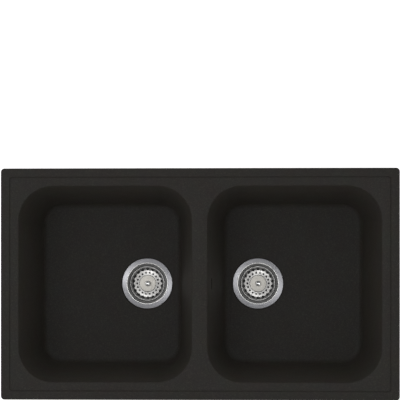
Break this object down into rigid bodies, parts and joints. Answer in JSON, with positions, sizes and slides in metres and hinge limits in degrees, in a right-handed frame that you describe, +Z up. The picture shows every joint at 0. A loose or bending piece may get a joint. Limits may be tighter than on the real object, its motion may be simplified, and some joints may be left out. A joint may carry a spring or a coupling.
{
  "type": "double bowl kitchen sink",
  "caption": "Inset double bowl kitchen sink in matt black quartz composite, with basket strainer wastes, an overflow and worktop clamps.",
  "frame": {"origin": "the middle of the sink on the top face of the worktop, where the underside of the rim rests", "axes": "+X along the sink to the bowl with the overflow, +Y to its back edge, +Z up"},
  "size_m": [0.86, 0.5, 0.2931],
  "materials": {
    "composite": "moulded quartz composite, matt black",
    "pressed_steel": "pressed stainless steel, brushed",
    "polished_steel": "polished stainless steel",
    "zinc_steel": "zinc-plated steel",
    "brass": "turned brass",
    "black_rubber": "moulded black rubber",
    "white_plastic": "moulded white polypropylene",
    "grey_plastic": "moulded grey polypropylene"
  },
  "bodies": {
    "sink": {"sink_body": "composite", "rim_seal_strip": "black_rubber", "left_strainer_cup": "pressed_steel", "left_flange_gasket": "black_rubber", "left_lower_washer": "black_rubber", "left_waste_body": "white_plastic", "left_centre_bolt": "zinc_steel", "left_hub_nut": "brass", "right_strainer_cup": "pressed_steel", "right_flange_gasket": "black_rubber", "right_lower_washer": "black_rubber", "right_waste_body": "white_plastic", "right_centre_bolt": "zinc_steel", "right_hub_nut": "brass", "overflow_gasket": "black_rubber", "overflow_housing": "grey_plastic", "overflow_screw_front": "zinc_steel", "overflow_screw_back": "zinc_steel", "overflow_hose": "grey_plastic", "upper_hose_nut": "white_plastic", "lower_hose_nut": "white_plastic"},
    "left_basket": {"left_strainer_basket": "pressed_steel", "left_basket_knob": "polished_steel", "left_basket_post": "polished_steel", "left_basket_stopper": "black_rubber"},
    "right_basket": {"right_strainer_basket": "pressed_steel", "right_basket_knob": "polished_steel", "right_basket_post": "polished_steel", "right_basket_stopper": "black_rubber"},
    "clamp_screw_1": {"clip_screw_1": "zinc_steel"},
    "clamp_clip_1": {"clip_1": "zinc_steel"},
    "clamp_screw_2": {"clip_screw_2": "zinc_steel"},
    "clamp_clip_2": {"clip_2": "zinc_steel"},
    "clamp_screw_3": {"clip_screw_3": "zinc_steel"},
    "clamp_clip_3": {"clip_3": "zinc_steel"},
    "clamp_screw_4": {"clip_screw_4": "zinc_steel"},
    "clamp_clip_4": {"clip_4": "zinc_steel"},
    "clamp_screw_5": {"clip_screw_5": "zinc_steel"},
    "clamp_clip_5": {"clip_5": "zinc_steel"},
    "clamp_screw_6": {"clip_screw_6": "zinc_steel"},
    "clamp_clip_6": {"clip_6": "zinc_steel"},
    "clamp_screw_7": {"clip_screw_7": "zinc_steel"},
    "clamp_clip_7": {"clip_7": "zinc_steel"},
    "clamp_screw_8": {"clip_screw_8": "zinc_steel"},
    "clamp_clip_8": {"clip_8": "zinc_steel"}
  },
  "joints": [
    {"name": "left_basket_lift", "type": "slide", "parent": "sink", "child": "left_basket", "axis": [0, 0, 1], "range_m": [0, 0.25]},
    {"name": "right_basket_lift", "type": "slide", "parent": "sink", "child": "right_basket", "axis": [0, 0, 1], "range_m": [0, 0.25]},
    {"name": "clamp_1_screw_travel", "type": "slide", "parent": "sink", "child": "clamp_screw_1", "axis": [0, 0, -1], "range_m": [0, 0.01]},
    {"name": "clamp_1_swivel", "type": "hinge", "parent": "clamp_screw_1", "child": "clamp_clip_1", "pos_m": [-0.29, -0.23, 0], "axis": [0, 0, 1], "range_deg": [0, 90]},
    {"name": "clamp_2_screw_travel", "type": "slide", "parent": "sink", "child": "clamp_screw_2", "axis": [0, 0, -1], "range_m": [0, 0.01]},
    {"name": "clamp_2_swivel", "type": "hinge", "parent": "clamp_screw_2", "child": "clamp_clip_2", "pos_m": [0, -0.23, 0], "axis": [0, 0, 1], "range_deg": [0, 90]},
    {"name": "clamp_3_screw_travel", "type": "slide", "parent": "sink", "child": "clamp_screw_3", "axis": [0, 0, -1], "range_m": [0, 0.01]},
    {"name": "clamp_3_swivel", "type": "hinge", "parent": "clamp_screw_3", "child": "clamp_clip_3", "pos_m": [0.29, -0.23, 0], "axis": [0, 0, 1], "range_deg": [0, 90]},
    {"name": "clamp_4_screw_travel", "type": "slide", "parent": "sink", "child": "clamp_screw_4", "axis": [0, 0, -1], "range_m": [0, 0.01]},
    {"name": "clamp_4_swivel", "type": "hinge", "parent": "clamp_screw_4", "child": "clamp_clip_4", "pos_m": [0.41, 0, 0], "axis": [0, 0, 1], "range_deg": [0, 90]},
    {"name": "clamp_5_screw_travel", "type": "slide", "parent": "sink", "child": "clamp_screw_5", "axis": [0, 0, -1], "range_m": [0, 0.01]},
    {"name": "clamp_5_swivel", "type": "hinge", "parent": "clamp_screw_5", "child": "clamp_clip_5", "pos_m": [0.29, 0.23, 0], "axis": [0, 0, 1], "range_deg": [0, 90]},
    {"name": "clamp_6_screw_travel", "type": "slide", "parent": "sink", "child": "clamp_screw_6", "axis": [0, 0, -1], "range_m": [0, 0.01]},
    {"name": "clamp_6_swivel", "type": "hinge", "parent": "clamp_screw_6", "child": "clamp_clip_6", "pos_m": [0, 0.23, 0], "axis": [0, 0, 1], "range_deg": [0, 90]},
    {"name": "clamp_7_screw_travel", "type": "slide", "parent": "sink", "child": "clamp_screw_7", "axis": [0, 0, -1], "range_m": [0, 0.01]},
    {"name": "clamp_7_swivel", "type": "hinge", "parent": "clamp_screw_7", "child": "clamp_clip_7", "pos_m": [-0.29, 0.23, 0], "axis": [0, 0, 1], "range_deg": [0, 90]},
    {"name": "clamp_8_screw_travel", "type": "slide", "parent": "sink", "child": "clamp_screw_8", "axis": [0, 0, -1], "range_m": [0, 0.01]},
    {"name": "clamp_8_swivel", "type": "hinge", "parent": "clamp_screw_8", "child": "clamp_clip_8", "pos_m": [-0.41, 0, 0], "axis": [0, 0, 1], "range_deg": [0, 90]}
  ]
}
